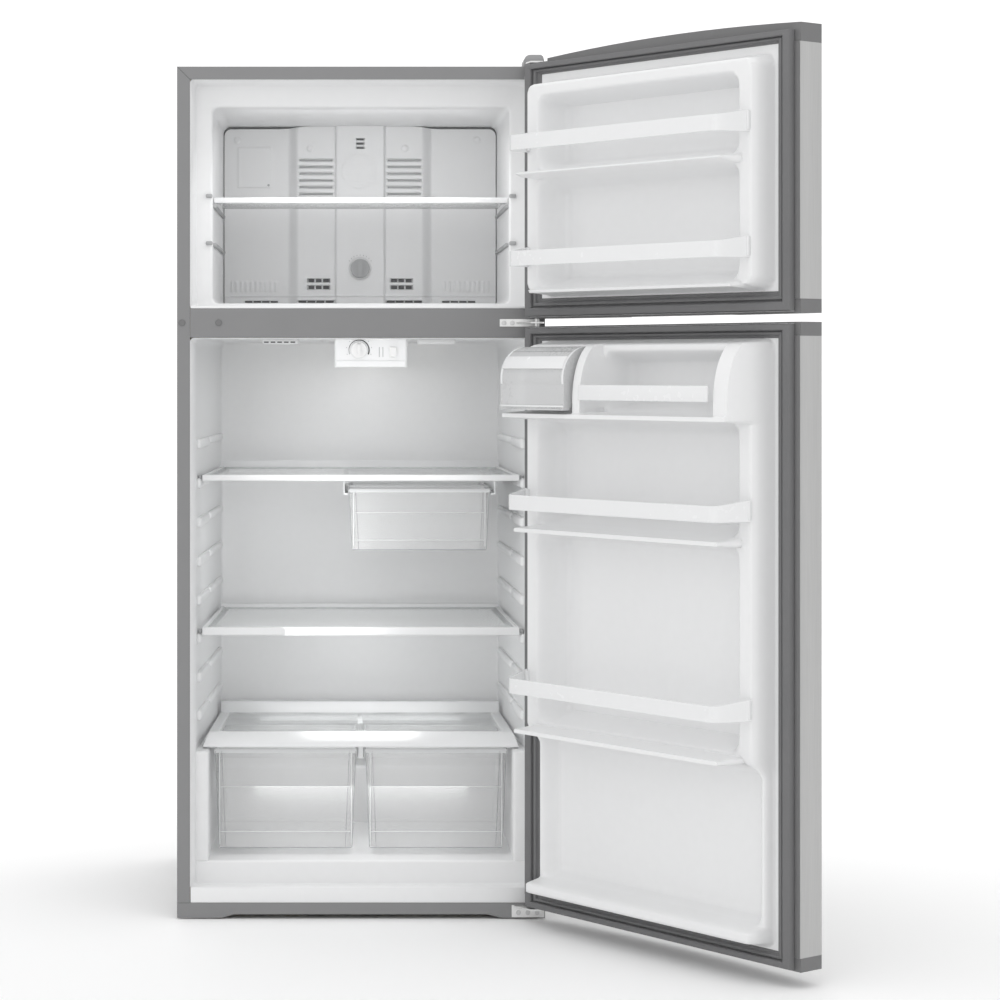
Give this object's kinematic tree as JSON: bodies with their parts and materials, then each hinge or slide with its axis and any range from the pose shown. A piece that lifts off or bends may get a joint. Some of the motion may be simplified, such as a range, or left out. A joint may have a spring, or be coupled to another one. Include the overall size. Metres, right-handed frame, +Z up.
{
  "type": "top freezer refrigerator",
  "caption": "Upright refrigerator with a freezer on top, two bowed steel doors held open, sliding glass shelves, crisper drawers and door racks.",
  "frame": {"origin": "on the floor under the middle of the cabinet's footprint", "axes": "+Z up, +X towards the hinged side, +Y towards the cabinet's back; doors open towards -Y"},
  "size_m": [1.1476, 1.269, 1.672],
  "materials": {
    "case_paint": "satin grey enamel",
    "stainless": "vertical brushed grain",
    "cap_grey": "fine grained",
    "liner_white": "moulded, soft gloss",
    "gasket_grey": "soft vinyl",
    "foam_tan": "closed cell foam",
    "bar_white": "gloss",
    "interior_white": "satin",
    "shelf_glass": "clear",
    "clear_plastic": "clear",
    "dial_grey": "satin",
    "dial_white": "satin",
    "lamp_glass": "frosted",
    "galvanised": "zinc plated",
    "hinge_steel": "zinc plated steel",
    "hinge_cover_grey": "fine grained",
    "screw_steel": "plated",
    "coil_aluminium": "mill",
    "heater_tube": "quartz",
    "black_enamel": "gloss black",
    "motor_grey": "satin",
    "fan_black": "satin",
    "pan_black": "satin",
    "fibre_board": "pressed board",
    "foot_plastic": "satin"
  },
  "bodies": {
    "cabinet": {"case_wrapper": "case_paint", "mullion_rail": "case_paint", "base_rail": "case_paint", "rear_panel": "galvanised", "base_pan": "galvanised", "wall_insulation": "foam_tan", "freezer_liner": "liner_white", "fridge_liner": "liner_white", "evaporator_cover": "interior_white", "evaporator_coil": "coil_aluminium", "defrost_heater": "heater_tube", "fan_motors": "motor_grey", "control_box": "interior_white", "light_bulb": "lamp_glass", "crisper_glass": "shelf_glass", "crisper_frame": "interior_white", "compressor": "black_enamel", "condenser_coil": "coil_aluminium", "drain_pan": "pan_black", "compressor_cover": "fibre_board", "cord_gland": "pan_black", "top_hinge": "hinge_steel", "top_hinge_cover": "hinge_cover_grey", "center_hinge": "hinge_steel", "bottom_hinge": "hinge_steel", "screws": "screw_steel", "hinge_plugs": "cap_grey"},
    "freezer_door": {"freezer_door_skin": "stainless", "freezer_door_caps": "cap_grey", "freezer_door_foam": "foam_tan", "freezer_door_liner": "liner_white", "freezer_door_gasket": "gasket_grey", "freezer_door_bars": "bar_white"},
    "fridge_door": {"fridge_door_skin": "stainless", "fridge_door_caps": "cap_grey", "fridge_door_foam": "foam_tan", "fridge_door_liner": "liner_white", "fridge_door_gasket": "gasket_grey", "fridge_door_bars": "bar_white"},
    "dairy_cover": {"dairy_door": "clear_plastic"},
    "right_crisper": {"crisper_right": "clear_plastic"},
    "left_crisper": {"crisper_left": "clear_plastic"},
    "upper_shelf": {"upper_shelf_frame": "interior_white", "upper_shelf_glass": "shelf_glass", "pan_rails": "interior_white"},
    "lower_shelf": {"lower_shelf_frame": "interior_white", "lower_shelf_glass": "shelf_glass"},
    "meat_drawer": {"meat_pan": "clear_plastic"},
    "freezer_shelf": {"freezer_shelf_plate": "clear_plastic", "freezer_shelf_trim": "interior_white"},
    "freezer_control": {"freezer_knob": "dial_grey"},
    "fridge_control": {"fridge_knob": "dial_white"},
    "door_switch": {"light_switch": "dial_white"},
    "cold_air_fan": {"evaporator_fan": "fan_black"},
    "bay_fan": {"condenser_fan": "fan_black"},
    "left_roller": {"roller_left": "pan_black"},
    "right_roller": {"roller_right": "pan_black"},
    "left_foot": {"foot_left": "foot_plastic"},
    "right_foot": {"foot_right": "foot_plastic"}
  },
  "joints": [
    {"name": "freezer_door_hinge", "type": "hinge", "parent": "cabinet", "child": "freezer_door", "pos_m": [0.3373, -0.3591, 0], "axis": [0, 0, 1], "range_deg": [-127.7, 7.3]},
    {"name": "fridge_door_hinge", "type": "hinge", "parent": "cabinet", "child": "fridge_door", "pos_m": [0.3373, -0.3591, 0], "axis": [0, 0, 1], "range_deg": [-127.7, 7.3]},
    {"name": "dairy_cover_flip", "type": "hinge", "parent": "fridge_door", "child": "dairy_cover", "pos_m": [0.36026, -0.51488, 1.097], "axis": [-0.6115, 0.7912, 0], "range_deg": [0, 75]},
    {"name": "right_crisper_slide", "type": "slide", "parent": "cabinet", "child": "right_crisper", "axis": [0, -1, 0], "range_m": [0, 0.26]},
    {"name": "left_crisper_slide", "type": "slide", "parent": "cabinet", "child": "left_crisper", "axis": [0, -1, 0], "range_m": [0, 0.26]},
    {"name": "upper_shelf_slide", "type": "slide", "parent": "cabinet", "child": "upper_shelf", "axis": [0, -1, 0], "range_m": [0, 0.12]},
    {"name": "lower_shelf_slide", "type": "slide", "parent": "cabinet", "child": "lower_shelf", "axis": [0, -1, 0], "range_m": [0, 0.12]},
    {"name": "meat_drawer_slide", "type": "slide", "parent": "upper_shelf", "child": "meat_drawer", "axis": [0, -1, 0], "range_m": [0, 0.2]},
    {"name": "freezer_shelf_slide", "type": "slide", "parent": "cabinet", "child": "freezer_shelf", "axis": [0, -1, 0], "range_m": [0, 0.15]},
    {"name": "freezer_control_turn", "type": "hinge", "parent": "cabinet", "child": "freezer_control", "pos_m": [0, 0.11, 1.2735], "axis": [0, -1, 0], "range_deg": [-135, 135]},
    {"name": "fridge_control_turn", "type": "hinge", "parent": "cabinet", "child": "fridge_control", "pos_m": [-0.0035, -0.21, 1.1], "axis": [0, -1, 0], "range_deg": [-135, 135]},
    {"name": "door_switch_press", "type": "slide", "parent": "cabinet", "child": "door_switch", "axis": [0, 1, 0], "range_m": [0, 0.006], "stiffness_N_per_m": 120, "springref_m": -0.006},
    {"name": "cold_air_fan_spin", "type": "hinge", "parent": "cabinet", "child": "cold_air_fan", "pos_m": [-0.004, 0.178, 1.478], "axis": [0, -1, 0], "continuous": true},
    {"name": "bay_fan_spin", "type": "hinge", "parent": "cabinet", "child": "bay_fan", "pos_m": [0.03, 0.256, 0.112], "axis": [1, 0, 0], "continuous": true},
    {"name": "left_roller_spin", "type": "hinge", "parent": "cabinet", "child": "left_roller", "pos_m": [-0.318, 0.27, 0.019], "axis": [1, 0, 0], "continuous": true},
    {"name": "right_roller_spin", "type": "hinge", "parent": "cabinet", "child": "right_roller", "pos_m": [0.318, 0.27, 0.019], "axis": [1, 0, 0], "continuous": true},
    {"name": "left_foot_turn", "type": "hinge", "parent": "cabinet", "child": "left_foot", "pos_m": [-0.312, -0.3, 0], "axis": [0, 0, 1], "continuous": true},
    {"name": "right_foot_turn", "type": "hinge", "parent": "cabinet", "child": "right_foot", "pos_m": [0.312, -0.3, 0], "axis": [0, 0, 1], "continuous": true}
  ]
}
